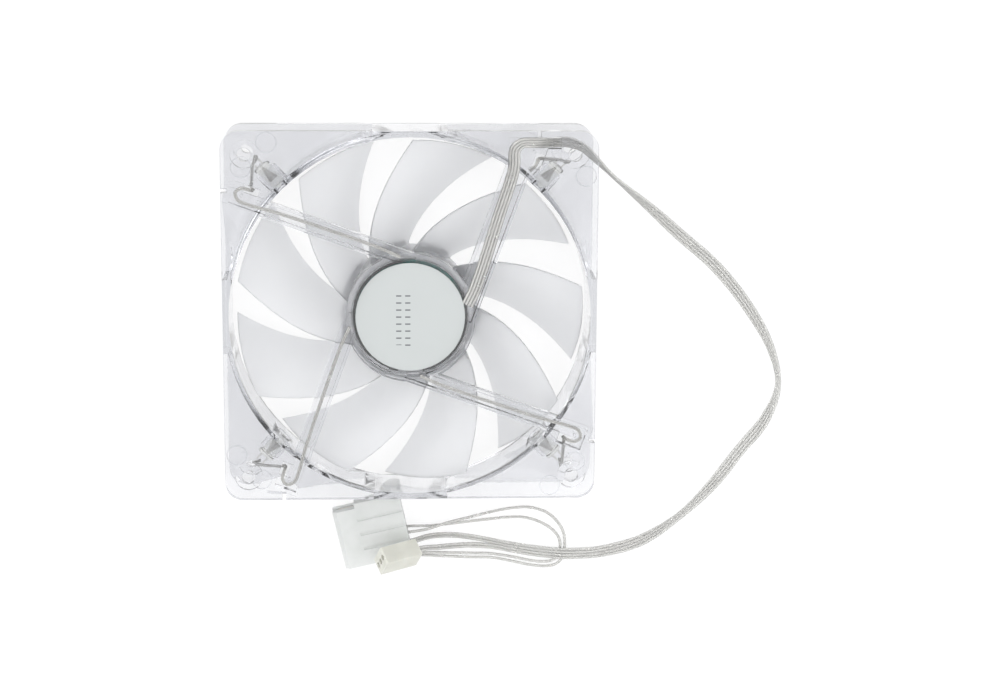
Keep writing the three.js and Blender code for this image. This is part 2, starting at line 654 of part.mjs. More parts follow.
// ---- Ribbon, loose wires and plugs ----
// Routes in millimetres: along the strut, out between the flanges, then over the floor.
const heldHeight = channelFloor + heldRibbonDiameter / 2 + seatGap;
const turnPoint = (x, y, z) => [ribbonTurnX + x, ribbonTurnY + y, z];
const heldRibbonRoute = [
  strutPoint(0, baseRadius + 1.5, 16.4, heldHeight), strutPoint(0, half - 20, 15.5, heldHeight),
  strutPoint(0, half - 2, 14.6, heldHeight), turnPoint(-2.9, 0.2, heldHeight),
  turnPoint(-0.9, 1.9, heldHeight), turnPoint(1.9, 2.2, heldHeight - 0.1),
  turnPoint(5.3, 2.2, heldHeight - 1.2), turnPoint(9.5, 2.1, heldHeight - 4.1),
  [half - 8.8, half - 4.2, 17.7], [half - 4.0, half - 6.4, 16.9], [half - 1.4, half - 8.8, 16.4],
];
const ribbonRoute = [
  [58.9, 50.9, 16.4], [64.6, 45.3, 14.6], [69.0, 41.4, 11.6], [78.5, 33.2, 5.0],
  [89.5, 23.2, 1.7], [101.8, 12.4, 1.6], [113.2, -1.6, 1.6], [121.0, -15.6, 1.6],
  [123.6, -28.0, 1.6], [119.6, -39.6, 1.6], [111.4, -50.6, 1.6], [101.8, -62.8, 1.6],
  [91.0, -73.2, 1.6], [78.4, -81.6, 1.6], [64.6, -85.6, 1.7], [56.2, -86.0, 2.5],
  [51.6, -85.9, 3.05], [48.1, -85.6, 3.0],
];
const drivePairRoute = [
  [47.7, -84.6, 2.7], [42.5, -84.1, 1.5], [33.4, -82.7, 0.9], [27.8, -81.5, 0.9],
  [20.5, -80.1, 0.9], [15.0, -79.3, 1.1], [9.4, -79.0, 2.2], [5.7, -79.2, 3.4],
  [2.9, -79.8, 4.1], [0.8, -80.4, 4.3],
];
const fanPairRoute = [
  [47.7, -86.6, 2.6], [42.6, -86.1, 1.6], [35.2, -84.9, 0.9], [27.8, -83.4, 1.1],
  [20.4, -82.4, 2.6], [13.0, -81.6, 6.6], [8.6, -80.9, 10.2], [5.4, -80.2, 12.9],
  [2.6, -80.2, 14.4],
];
const outerJumperRoute = [
  [-0.1, -77.0, 4.9], [5.7, -76.2, 4.4], [13.1, -74.3, 2.8], [20.5, -73.0, 1.0],
  [27.8, -71.3, 0.6], [35.1, -70.0, 0.6], [40.6, -69.9, 0.6], [46.3, -71.7, 0.6],
  [50.1, -75.1, 0.6], [52.2, -79.0, 0.6], [52.6, -83.6, 0.6], [51.9, -87.4, 0.6],
  [49.6, -89.9, 0.6], [45.8, -90.6, 0.6], [40.8, -90.1, 0.6], [35.3, -88.9, 0.6],
  [27.8, -87.3, 1.0], [20.4, -86.6, 2.6], [13.0, -85.4, 5.3], [8.0, -84.3, 8.2],
  [4.4, -83.4, 10.4], [1.7, -83.0, 11.7],
];
const innerJumperRoute = [
  [-0.5, -75.3, 3.6], [5.8, -75.5, 2.6], [13.1, -75.3, 1.2], [20.4, -74.6, 0.6],
  [27.8, -73.8, 0.6], [33.3, -73.3, 0.6], [38.8, -73.4, 0.6], [44.4, -75.2, 0.6],
  [48.8, -78.2, 0.6], [50.7, -81.0, 0.6], [51.0, -84.2, 0.6], [50.2, -87.0, 0.6],
  [48.2, -88.6, 0.6], [45.0, -89.0, 0.6], [40.8, -88.5, 0.6], [35.3, -87.3, 0.6],
  [27.8, -85.8, 1.5], [20.4, -84.9, 3.6], [13.0, -83.8, 6.6], [8.0, -82.8, 9.5],
  [4.6, -82.2, 11.7], [2.0, -81.9, 12.8],
];
const plugRise = 0.05;          // large plug over the plane of the front face
const fanPlugRise = 7.8;        // small plug's middle over the large plug's upper face
const drivePlugPlace = {
  at: [-12.65, -half - 15.85, plugRise + drivePlugHeight / 2], yaw: 13 };
const fanPlugPlace = {
  at: [-4.0, -half - 22.1, plugRise + drivePlugHeight + fanPlugRise], turn: [-46.1, 15.1, 23.6] };

// A plug body along X: a box with a row of through cavities along one cross axis.
function plugSolid(length, width, height, cavityRadius, cavityPlaces, alongY) {
  const body = toSolid(new THREE.BoxGeometry(length, width, height));
  const cavities = cavityPlaces.map((place) => toSolid(
    discGeometry(cavityRadius, -length, length, 16),
    moved(0, alongY ? place : 0, alongY ? 0 : place)
      .multiply(new THREE.Matrix4().makeRotationY(Math.PI / 2))));
  return cutBy(body, cavities);
}

const rowPlaces = (count, pitch) => Array.from({ length: count },
  (_, index) => (index - (count - 1) / 2) * pitch);
const driveRow = rowPlaces(4, drivePlugPitch);
const fanRow = rowPlaces(3, fanPlugPitch);

// The large plug: its mating end is narrower on one side, and grooves part the four cavities.
function drivePlugSolid() {
  const body = plugSolid(drivePlugLength, drivePlugWidth, drivePlugHeight, drivePlugBore,
    driveRow, true);
  const halfLength = drivePlugLength / 2;
  const shoulder = -halfLength + drivePlugLength / 3;
  const cutters = [toSolid(boxGeometry(-halfLength - 1, drivePlugWidth / 2 - drivePlugStep,
    -drivePlugHeight, shoulder, drivePlugWidth, drivePlugHeight))];
  for (const middle of rowPlaces(3, drivePlugPitch)) {
    for (const side of [-1, 1]) {
      const face = side * drivePlugHeight / 2;
      cutters.push(toSolid(boxGeometry(shoulder, middle - grooveWidth / 2, face - grooveDepth,
        halfLength + 1, middle + grooveWidth / 2, face + grooveDepth)));
    }
  }
  return cutBy(body, cutters);
}

// A crimped contact: a socket barrel, a neck and a narrower wire barrel.
function contactGeometry(radius, wireRadius, start, neck, end, segments) {
  const inner = radius - contactWall;
  const wireInner = wireRadius - contactWall;
  return turnedGeometry([[inner, start], [radius, start], [radius, neck],
    [wireRadius, neck + 1], [wireRadius, end], [wireInner, end], [wireInner, neck + 1],
    [inner, neck], [inner, start]], segments).rotateY(Math.PI / 2);
}

const routes = [
  ['ribbon_lead', heldRibbonRoute, heldRibbonDiameter, 20],
  ['power_ribbon', ribbonRoute, ribbonDiameter, 30],
  ['drive_pair', drivePairRoute, pairDiameter, 12],
  ['fan_pair', fanPairRoute, pairDiameter, 12],
  ['jumper_outer', outerJumperRoute, wireDiameter, 30],
  ['jumper_inner', innerJumperRoute, wireDiameter, 30],
];
for (const [name, route, diameter, steps] of routes) {
  place(name, tubeGeometry(route, diameter, 8, steps), wireMaterial());
}

const drivePlug = new THREE.Group();
drivePlug.position.set(...drivePlugPlace.at);
drivePlug.rotation.z = radians(drivePlugPlace.yaw);
group.add(drivePlug);
place('drive_plug', toGeometry(drivePlugSolid()), nylonMaterial(), drivePlug);
driveRow.forEach((at, index) => {
  const contact = place(`drive_plug_contact_${index + 1}`, contactGeometry(
    drivePlugBore - fitGap, driveWireBarrel, contactInset - drivePlugLength / 2,
    drivePlugLength / 8, drivePlugLength / 2 - contactInset - 0.5, 12), tinMaterial(), drivePlug);
  contact.position.y = at;
});

const fanPlug = new THREE.Group();
fanPlug.position.set(...fanPlugPlace.at);
fanPlug.rotation.set(...fanPlugPlace.turn.map(radians), 'XYZ');
group.add(fanPlug);
place('fan_plug', toGeometry(plugSolid(fanPlugLength, fanPlugWidth, fanPlugHeight, fanPlugBore,
  fanRow, false)), ivoryMaterial(), fanPlug);
fanRow.forEach((at, index) => {
  const contact = place(`fan_plug_contact_${index + 1}`, contactGeometry(
    fanPlugBore - fitGap, fanWireBarrel, fanContactInset - fanPlugLength / 2,
    fanPlugLength / 12, fanPlugLength / 2 - fanContactInset - 0.6, 10), tinMaterial(), fanPlug);
  contact.position.z = at;
});

export default group;
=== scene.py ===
"""A 120 mm clear case fan on its front face, with corner lights, a ribbon lead and two plugs."""

import math

import bmesh
import bpy
from mathutils import Euler, Matrix, Vector


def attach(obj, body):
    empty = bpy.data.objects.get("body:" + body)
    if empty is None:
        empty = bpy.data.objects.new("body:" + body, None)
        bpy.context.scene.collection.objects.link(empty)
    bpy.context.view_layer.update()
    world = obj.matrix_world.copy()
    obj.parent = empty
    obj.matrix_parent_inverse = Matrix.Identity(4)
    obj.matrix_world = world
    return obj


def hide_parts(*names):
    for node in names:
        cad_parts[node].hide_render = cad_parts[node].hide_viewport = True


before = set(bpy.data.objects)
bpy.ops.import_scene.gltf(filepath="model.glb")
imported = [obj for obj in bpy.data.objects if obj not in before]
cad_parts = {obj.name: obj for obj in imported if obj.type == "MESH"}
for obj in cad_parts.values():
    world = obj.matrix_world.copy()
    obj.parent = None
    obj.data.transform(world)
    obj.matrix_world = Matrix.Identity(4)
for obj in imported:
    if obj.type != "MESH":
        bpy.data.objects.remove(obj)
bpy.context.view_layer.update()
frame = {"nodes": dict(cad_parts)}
nodes = frame["nodes"]

MM = 0.001
STILL = "housing"
ROTOR = "rotor"


# ---- Sizes, in millimetres and degrees, as the frame has them ----
# Hub cup
HUB_RADIUS = 20.7
HUB_INNER = 18.8
HUB_FRONT = 1.0
HUB_REAR = 19.9
HUB_LIP = 0.3
CUP_FACE = 2.6
BOSS_RADIUS = 3.2
BOSS_REAR = 5.2
SHAFT_SEAT_RADIUS = 1.75
SHAFT_SEAT_FRONT = 1.6
HUB_STEPS = 128

# Blades. A sweep is its angle at the hub, its slope and its curve over the blade's reach.
BLADE_COUNT = 9
BLADE_TIP_RADIUS = 56.4
BLADE_THICKNESS = 1.5
BLADE_SINK = 0.3
BLADE_FRONT_GAP = 2.0
BLADE_REAR_GAP = 1.0
BLADE_TAPER = 2.2
BLADE_CAMBER = 1.2
BLADE_EDGE_THINNING = 0.55
BLADE_ROOT_FILLET = 1.1
BLADE_EDGE_ROUND = 0.25
LEADING_SWEEP = (15.8, -36.4, 6.1)
TRAILING_SWEEP = (51.5, -52.5, 14.0)
FIRST_TIP_ANGLE = 76

# Struts and wires
STRUT_ANGLE = 70
WIRE_RADIUS = 0.5
CORE_RADIUS = 0.3
RIBBON_PITCH = 1.0
LAMP_LEAD_SCALE = 0.55
WIRE_SIDES = 12
CORE_SIDES = 14
CORE_VALLEY = 0.97
CORE_TWIST = 18.0

# Corner lights, measured outward from the axis along each corner's diagonal
LIGHT_RADIUS = 2.5
LIGHT_RIM_RADIUS = 2.9
LIGHT_RIM_ROUND = 0.15
LIGHT_HEIGHT = 12.5
LIGHT_TIP = 58.4
LIGHT_RIM = 65.9
LIGHT_BASE = 67.0
LIGHT_PIN_MIDDLE = 68.1
LIGHT_PIN_OFFSET = 1.27
LIGHT_PIN_WIDTH = 0.5
LIGHT_PIN_STRETCH = 4.4

# Round marks of the mould's pins in the rear flange
PIN_MARKS = ((-45.5, 56.2), (-53.6, 48.3))
PIN_MARK_RADIUS = 3.0
PIN_MARK_TOP = 21.35
PIN_MARK_FLOOR = 21.15

# Plugs
DRIVE_PLUG_AT = (-12.65, -75.85, 4.35)
DRIVE_PLUG_YAW = 13
FAN_PLUG_AT = (-4.0, -82.1, 16.45)
FAN_PLUG_TURN = (-46.1, 15.1, 23.6)

# Label marks: each column's middle and half its height, then the marks' own sizes
LABEL_COLUMNS = ((-3.7, 8.4), (-0.8, 9.6))
LABEL_MARK_SPACING = 1.15
LABEL_MARK_HALF_HEIGHT = 0.22
LABEL_MARK_HALF_WIDTH = 0.85
LABEL_MIDDLE_Y = -0.8

# Circuit board. Its rim is painted near black as shade, except round one angle beside the ribbon
BOARD_SHADED_RIM = (17.5, 17.8)
BOARD_UNSHADED_ANGLE = 65
BOARD_UNSHADED_EDGE = (0.35, 0.7)

# Camera, floor and sky. A sky stop is a height and its colour: grey at the horizon, then white.
CAMERA_LENS = 83.72
CAMERA_TURN = (-11.65, -3.01, -0.24)
CAMERA_AT = (-10.5, 140.6, 758.2)
FLOOR_REACH = 1500.0
FLOOR_DROP = 0.2
SKY_STOPS = ((0.0, (0.50, 0.51, 0.53)), (0.5, (1.0, 1.0, 1.0)))
SKY_STRENGTH = 0.85


# ---- Camera ----
def add_camera():
    """Looks down on the strut side, tipped a little towards the lead."""
    data = bpy.data.cameras.new("camera")
    data.lens = CAMERA_LENS
    data.sensor_width = 36.0
    data.clip_start = 0.01
    data.clip_end = 20.0
    camera = bpy.data.objects.new("camera", data)
    camera.rotation_mode = "ZYX"
    camera.rotation_euler = [math.radians(a) for a in CAMERA_TURN]
    camera.location = Vector(CAMERA_AT) * MM
    bpy.context.scene.collection.objects.link(camera)
    bpy.context.scene.camera = camera


# ---- Shader maths ----
class Shade:
    """A node's output, which Python arithmetic extends with Math nodes."""

    def __init__(self, nodes, output):
        self.nodes = nodes
        self.output = output

    def math(self, operation, *values):
        """A Math node on the given values."""
        inputs = dict(enumerate(values))
        return self.nodes.node("ShaderNodeMath", {"operation": operation}, inputs)

    def __add__(self, other):
        return self.math("ADD", self, other)

    def __radd__(self, other):
        return self.math("ADD", other, self)

    def __sub__(self, other):
        return self.math("SUBTRACT", self, other)

    def __rsub__(self, other):
        return self.math("SUBTRACT", other, self)

    def __mul__(self, other):
        return self.math("MULTIPLY", self, other)

    def __rmul__(self, other):
        return self.math("MULTIPLY", other, self)

    def __lt__(self, other):
        return self.math("LESS_THAN", self, other)

    def __abs__(self):
        return self.math("ABSOLUTE", self)

    def smooth(self, low, high):
        """0 below low, 1 above high, and a soft step between."""
        return self.nodes.node(
            "ShaderNodeMapRange",
            {"interpolation_type": "SMOOTHSTEP"},
            {"Value": self, "From Min": low, "From Max": high},
        )


class Nodes:
    """A node tree in the making."""

    def __init__(self, tree):
        self.tree = tree

    def node(self, kind, settings=None, inputs=None, output=0):
        """Any node: its settings first, then its sockets. Gives one output."""
        made = self.tree.nodes.new(kind)
        for key, value in (settings or {}).items():
            if key == "stops":
                self.stops(made.color_ramp, value)
            else:
                setattr(made, key, value)
        for key, value in (inputs or {}).items():
            self.feed(made.inputs[key], value)
        return Shade(self, made.outputs[output])

    @staticmethod
    def stops(ramp, stops):
        """Fills a colour ramp with (place, colour) pairs."""
        while len(ramp.elements) < len(stops):
            ramp.elements.new(1.0)
        for element, (place, colour) in zip(ramp.elements, stops):
            element.position = place
            element.color = (*colour, 1.0)

    def feed(self, socket, value):
        """Links a made value to a socket, or sets a plain one."""
        if isinstance(value, Shade):
            self.tree.links.new(value.output, socket)
        else:
            socket.default_value = value


class Finish(Nodes):
    """A material in the making, with its one Principled shader."""

    def __init__(self, name):
        self.material = bpy.data.materials.new(name)
        self.material.use_nodes = True
        super().__init__(self.material.node_tree)
        self.shader = self.tree.nodes["Principled BSDF"]

    def set(self, values):
        """Sets or links the shader's own sockets by name."""
        for key, value in values.items():
            self.feed(self.shader.inputs[key], value)

    def absorb(self, colour, density):
        """Darkens light by how far it goes through the piece."""
        inputs = {"Color": (*colour, 1.0), "Density": density}
        made = self.node("ShaderNodeVolumeAbsorption", None, inputs)
        self.feed(self.tree.nodes["Material Output"].inputs["Volume"], made)

    def place(self):
        """The place on the piece, in metres."""
        return self.node("ShaderNodeTexCoord", output="Object")

    def axes(self):
        """X, Y and Z of the place on the piece, in millimetres."""
        place = self.place()
        return [
            self.node("ShaderNodeSeparateXYZ", None, {0: place}, axis) * (1 / MM)
            for axis in range(3)]

    def noise(self, size_mm, detail=2.0, stretch=(1.0, 1.0, 1.0)):
        """Even noise whose features are about size_mm wide."""
        spread = self.node("ShaderNodeMapping", None, {"Vector": self.place(), "Scale": stretch})
        inputs = {"Vector": spread, "Scale": 1 / (size_mm * MM), "Detail": detail}
        return self.node("ShaderNodeTexNoise", None, inputs)

    def mix(self, factor, low, high):
        """Two plain colours, mixed by factor."""
        return self.blend(factor, (*low, 1.0), high)

    def blend(self, factor, low, high):
        """A made colour and a plain one, mixed by factor."""
        inputs = {0: factor, 6: low, 7: (*high, 1.0)}
        return self.node("ShaderNodeMix", {"data_type": "RGBA"}, inputs, output=2)

    def bump(self, height, depth_mm):
        """Dents the surface by height, depth_mm deep."""
        inputs = {"Strength": 1.0, "Distance": depth_mm * MM, "Height": height}
        return self.node("ShaderNodeBump", None, inputs)


# ---- Materials ----
def clear_housing():
    """Polished polycarbonate with a faint violet cast and slow flow marks."""
    f = Finish("clear_housing")
    flow = f.noise(14.0, 2.0)
    fine = f.noise(1.6, 2.0)
    f.set({
        "Base Color": f.mix(flow.smooth(0.35, 0.65), (0.900, 0.904, 0.920), (0.925, 0.928, 0.942)),
        "Roughness": 0.03 + 0.05 * fine,
        "IOR": 1.5,
        "Transmission Weight": 0.97,
        "Normal": f.bump(flow * 0.8 + fine * 0.2, 0.06),
    })
    f.absorb((0.72, 0.735, 0.77), 26.0)
    return f.material


def frosted_blade():
    """The same plastic a little hazier, as the moulded blades are."""
    f = Finish("frosted_blade")
    flow = f.noise(9.0, 2.0)
    grain = f.noise(0.35, 1.0)
    f.set({
        "Base Color": f.mix(flow.smooth(0.3, 0.7), (0.885, 0.892, 0.908), (0.905, 0.912, 0.926)),
        "Roughness": 0.34 + 0.10 * flow,
        "IOR": 1.4,
        "Specular IOR Level": 0.3,
        "Transmission Weight": 0.82,
        "Normal": f.bump(flow * 0.7 + grain * 0.3, 0.03),
    })
    return f.material


def brushed_steel(name, colour, ring_mm=0.25):
    """Turned or ground metal with fine scratches that run round the axis."""
    f = Finish(name)
    scratches = f.noise(ring_mm, 3.0, (1.0, 1.0, 0.08))
    blotch = f.noise(4.0, 2.0)
    dull = tuple(c * 0.8 for c in colour)
    f.set({
        "Base Color": f.mix(blotch, dull, colour),
        "Metallic": 1.0,
        "Roughness": 0.28 + 0.2 * scratches,
        "Normal": f.bump(scratches, 0.01),
    })
    return f.material


def moulded(name, low, high, rough, clear=0.0, milk=0.0, grain_mm=0.4, depth_mm=0.02):
    """Moulded plastic: a slow colour drift, fine grain and, if milky, light inside it."""
    f = Finish(name)
    drift = f.noise(6.0, 3.0)
    grain = f.noise(grain_mm, 2.0)
    f.set({
        "Base Color": f.mix(drift.smooth(0.3, 0.7), low, high),
        "Roughness": rough + 0.12 * grain,
        "Transmission Weight": clear,
        "Subsurface Weight": milk,
        "Subsurface Scale": 0.002,
        "Subsurface Radius": (1.0, 1.0, 1.0),
        "Normal": f.bump(grain, depth_mm),
    })
    return f.material


def wound_copper():
    """Enamelled wire laid side by side along each coil."""
    f = Finish("wound_copper")
    x, y, _ = f.axes()
    turns = f.node("ShaderNodeMath", {"operation": "SINE"}, {0: (abs(x) + abs(y)) * 22.0})
    drift = f.noise(2.0)
    f.set({
        "Base Color": f.mix(drift, (0.50, 0.20, 0.08), (0.78, 0.38, 0.18)),
        "Metallic": 0.85,
        "Roughness": 0.3,
        "Normal": f.bump(turns, 0.08),
    })
    return f.material


def solder_mask():
    """Blue-green board with faint tracks under the mask, and painted shade that turns its rim near
    black except beside the ribbon.
    """
    f = Finish("solder_mask")
    x, y, _ = f.axes()
    radius = f.node("ShaderNodeMath", {"operation": "SQRT"}, {0: x * x + y * y})
    tracks = f.node("ShaderNodeMath", {"operation": "SINE"}, {0: radius * 3.4}).smooth(0.2, 0.45)
    drift = f.noise(3.0)
    angle = f.node("ShaderNodeMath", {"operation": "ARCTAN2"}, {0: y, 1: x})
    # Painted shade: the rim goes near black all round, except round one angle beside the ribbon.
    unshaded = 1.0 - abs(angle - math.radians(BOARD_UNSHADED_ANGLE)).smooth(*BOARD_UNSHADED_EDGE)
    rim = radius.smooth(*BOARD_SHADED_RIM) * (1.0 - unshaded)
    green = f.mix(tracks * 0.6 + drift * 0.3, (0.004, 0.14, 0.12), (0.01, 0.30, 0.25))
    f.set({
        # The near-black colour is painted shade at the board's rim.
        "Base Color": f.blend(rim, green, (0.012, 0.016, 0.016)),
        "Roughness": 0.25,
        "Coat Weight": 0.4,
        "Normal": f.bump(tracks, 0.03),
    })
    return f.material


def label_film():
    """Silver-grey film with two columns of plain marks in place of print."""
    f = Finish("label_film")
    x, y, _ = f.axes()
    marks = 0.0
    for middle, reach in LABEL_COLUMNS:
        row = f.node(
            "ShaderNodeMath", {"operation": "PINGPONG"}, {0: y, 1: LABEL_MARK_SPACING})
        across = abs(x - middle) < LABEL_MARK_HALF_WIDTH
        along = abs(y - LABEL_MIDDLE_Y) < reach
        marks = marks + (row < LABEL_MARK_HALF_HEIGHT) * across * along
    grain = f.noise(0.25, 2.0)
    drift = f.noise(12.0, 2.0)
    film = f.mix(drift, (0.535, 0.562, 0.56), (0.565, 0.592, 0.59))
    f.set({
        "Base Color": f.blend(marks, film, (0.16, 0.17, 0.18)),
        "Metallic": 0.15,
        "Roughness": 0.42 + 0.1 * grain,
        "Normal": f.bump(grain, 0.006),
    })
    return f.material


def clear_sleeve():
    """Clear vinyl round a wire."""
    f = Finish("clear_sleeve")
    haze = f.noise(3.0, 2.0)
    f.set({
        "Base Color": f.mix(haze, (0.90, 0.90, 0.885), (0.94, 0.94, 0.93)),
        "Roughness": 0.22 + 0.08 * haze,
        "IOR": 1.45,
        "Transmission Weight": 0.70,
        "Normal": f.bump(haze, 0.02),
    })
    return f.material


def tinned_core():
    """Tinned strands with a fine relief, painted lighter on its crests as glints and darker in its
    valleys as shade.
    """
    f = Finish("tinned_core")
    relief_and_painted_glint = f.noise(0.7, 3.0)
    f.set({
        # Painted glint and shade: the colour follows the relief, lighter on its crests and darker
        # in its valleys.
        "Base Color": f.mix(relief_and_painted_glint.smooth(0.35, 0.65), (0.80, 0.79, 0.765), (0.94, 0.935, 0.915)),
        "Metallic": 0.5,
        "Roughness": 0.45 + 0.15 * relief_and_painted_glint,
        "Normal": f.bump(relief_and_painted_glint, 0.01),
    })
    return f.material


def light_epoxy():
    """Clear epoxy with a faint yellow cast, as an unlit white light has."""
    f = Finish("light_epoxy")
    haze = f.noise(1.5, 2.0)
    f.set({
        "Base Color": f.mix(haze, (0.955, 0.955, 0.90), (0.98, 0.98, 0.95)),
        "Roughness": 0.04 + 0.06 * haze,
        "IOR": 1.5,
        "Transmission Weight": 0.95,
        "Normal": f.bump(haze, 0.02),
    })
    return f.material


def phosphor():
    """Pale yellow dot over the light's die."""
    f = Finish("phosphor")
    grain = f.noise(0.15, 2.0)
    f.set({
        "Base Color": f.mix(grain, (0.80, 0.74, 0.24), (0.92, 0.88, 0.45)),
        "Roughness": 0.6 + 0.2 * grain,
        "Normal": f.bump(grain, 0.02),
    })
    return f.material


# ---- Pieces ----
def add_piece(name, bm, materials, body, replaced=(), smooth_angle=35.0):
    """Makes a finished object at the origin from a bmesh, with its place in the mesh."""
    mesh = bpy.data.meshes.new(name)
    bm.to_mesh(mesh)
    bm.free()
    for material in materials:
        mesh.materials.append(material)
    mesh.shade_smooth()
    mesh.set_sharp_from_angle(angle=math.radians(smooth_angle))
    piece = bpy.data.objects.new(name, mesh)
    bpy.context.scene.collection.objects.link(piece)
    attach(piece, body)
    if replaced:
        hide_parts(*replaced)
    return piece


def dress(node, material):
    """Gives a CAD node its finish."""
    target = nodes[node]
    target.data.materials.clear()
    target.data.materials.append(material)


def merged_copy(node):
    """A bmesh of a CAD node with its loose triangles joined and flat faces made whole."""
    bm = bmesh.new()
    bm.from_mesh(nodes[node].data)
    bmesh.ops.remove_doubles(bm, verts=bm.verts, dist=0.002 * MM)
    bmesh.ops.dissolve_limit(
        bm, angle_limit=math.radians(0.8), use_dissolve_boundaries=False,
        verts=bm.verts, edges=bm.edges, delimit={"NORMAL"},
    )
    return bm


def soften(piece, width_mm, segments=2, angle=40.0):
    """Rounds a piece's sharp edges."""
    bevel = piece.modifiers.new("round_edges", "BEVEL")
    bevel.width = width_mm * MM
    bevel.segments = segments
    bevel.limit_method = "ANGLE"
    bevel.angle_limit = math.radians(angle)
    bevel.use_clamp_overlap = True
    bevel.harden_normals = False


def turned(bm, profile, steps, matrix=None, slot_index=0):
    """Spins an open [radius, height] profile, in millimetres, round Z into a closed body."""
    start = [bm.verts.new((r * MM, 0.0, z * MM)) for r, z in profile]
    edges = [bm.edges.new(pair) for pair in zip(start, start[1:])]
    before = set(bm.faces)
    bmesh.ops.spin(
        bm, geom=start + edges, cent=(0, 0, 0), axis=(0, 0, 1), dvec=(0, 0, 0),
        angle=2 * math.pi, steps=steps, use_merge=True, use_normal_flip=False,
        use_duplicate=False,
    )
    made = [face for face in bm.faces if face not in before]
    verts = list({vert for face in made for vert in face.verts})
    bmesh.ops.remove_doubles(bm, verts=verts, dist=0.0005 * MM)
    made = [face for face in bm.faces if face not in before]
    bmesh.ops.recalc_face_normals(bm, faces=made)
    for face in made:
        face.material_index = slot_index
    if matrix is not None:
        verts = list({vert for face in made for vert in face.verts})
        bmesh.ops.transform(bm, matrix=matrix, verts=verts)


# ---- Routes ----
def strut_point(index, along, off, height):
    """A place in a strut: how far out along it, how far its line passes from the axis, height."""
    turn = math.radians(STRUT_ANGLE + 90 * index)
    x = along * math.cos(turn) + off * math.sin(turn)
    y = along * math.sin(turn) - off * math.cos(turn)
    return (x, y, height)


def corner_point(index, out, aside, height):
    """A place by a corner's diagonal: how far out along it, how far to one side, height."""
    turn = math.radians(45 + 90 * index)
    x = out * math.cos(turn) + aside * math.sin(turn)
    y = out * math.sin(turn) - aside * math.cos(turn)
    return (x, y, height)


def smooth_route(points, step_mm=1.0):
    """Points along a smooth curve through the chosen ones. The roll, if given, goes along."""
    known = [Vector((*p, 0.0)) if len(p) == 3 else Vector(p) for p in points]
    ends = [2 * known[0] - known[1], *known, 2 * known[-1] - known[-2]]
    route = []
    for a, b, c, d in zip(ends, ends[1:], ends[2:], ends[3:]):
        knots = [0.0]
        for p, q in ((a, b), (b, c), (c, d)):
            knots.append(knots[-1] + max((q - p).xyz.length, 1e-6) ** 0.5)
        t0, t1, t2, t3 = knots
        count = max(2, round((c - b).xyz.length / step_mm))
        for i in range(count):
            t = t1 + (t2 - t1) * i / count
            ab = a * ((t1 - t) / (t1 - t0)) + b * ((t - t0) / (t1 - t0))
            bc = b * ((t2 - t) / (t2 - t1)) + c * ((t - t1) / (t2 - t1))
            cd = c * ((t3 - t) / (t3 - t2)) + d * ((t - t2) / (t3 - t2))
            abc = ab * ((t2 - t) / (t2 - t0)) + bc * ((t - t0) / (t2 - t0))
            bcd = bc * ((t3 - t) / (t3 - t1)) + cd * ((t - t1) / (t3 - t1))
            route.append(abc * ((t2 - t) / (t2 - t1)) + bcd * ((t - t1) / (t2 - t1)))
    route.append(known[-1])
    return route


def frames_along(route):
    """A matrix in metres at each point: X across the ribbon, Y through it, Z along it."""
    places = [p.xyz * MM for p in route]
    frames = []
    for i, place in enumerate(places):
        ahead = places[min(i + 1, len(places) - 1)]
        behind = places[max(i - 1, 0)]
        along = (ahead - behind).normalized()
        level = Vector((0, 0, 1)).cross(along)
        if level.length < 1e-3:
            level = Vector((1, 0, 0))
        across = Matrix.Rotation(math.radians(route[i].w), 3, along) @ level.normalized()
        through = along.cross(across)
        rows = Matrix((across, through, along)).transposed().to_4x4()
        frames.append(Matrix.Translation(place) @ rows)
    return frames


def sweep(bm, frames, shift_mm, radius_mm, sides, slot_index, lobes=False, twist=0.0):
    """A closed tube along the frames, shift_mm to one side; lobes and twist make strands."""
    aside = Matrix.Translation((shift_mm * MM, 0, 0))
    rings = [
        frame_at @ aside @ Matrix.Rotation(math.radians(twist * i), 4, "Z")
        for i, frame_at in enumerate(frames)]
    tube = bmesh.new()
    verts = bmesh.ops.create_circle(
        tube, cap_ends=True, radius=radius_mm * MM, segments=sides)["verts"]
    if lobes:
        for vert in verts[::2]:
            vert.co *= CORE_VALLEY
    edges = list(tube.edges)
    bmesh.ops.transform(tube, matrix=rings[0], verts=verts)
    for here, ahead in zip(rings, rings[1:]):
        grown = bmesh.ops.extrude_edge_only(tube, edges=edges)["geom"]
        verts = [item for item in grown if isinstance(item, bmesh.types.BMVert)]
        moved = set(verts)
        edges = [item for item in grown if isinstance(item, bmesh.types.BMEdge)
                 and item.verts[0] in moved and item.verts[1] in moved]
        step = ahead @ here.inverted()
        for vert in verts:
            vert.co = step @ vert.co
    bmesh.ops.contextual_create(tube, geom=edges)
    bmesh.ops.recalc_face_normals(tube, faces=tube.faces)
    for face in tube.faces:
        face.material_index = slot_index
    pour(tube, bm)


def pour(source, target):
    """Adds one bmesh's geometry to another."""
    mesh = bpy.data.meshes.new("poured")
    source.to_mesh(mesh)
    source.free()
    target.from_mesh(mesh)
    bpy.data.meshes.remove(mesh)


def wires(name, points, shifts, replaced, scale=1.0):
    """Sleeved stranded wires side by side along one route. Gives the piece and its path."""
    route = smooth_route(points)
    frames = frames_along(route)
    bm = bmesh.new()
    for shift in shifts:
        aside = shift * scale
        sweep(bm, frames, aside, WIRE_RADIUS * scale, WIRE_SIDES, 0)
        sweep(bm, frames, aside, CORE_RADIUS * scale, CORE_SIDES, 1, True, CORE_TWIST)
    materials = [finish["clear_sleeve"], finish["tinned_core"]]
    piece = add_piece(name, bm, materials, STILL, replaced, smooth_angle=60.0)
    return piece, [tuple(p.xyz * MM) for p in route]


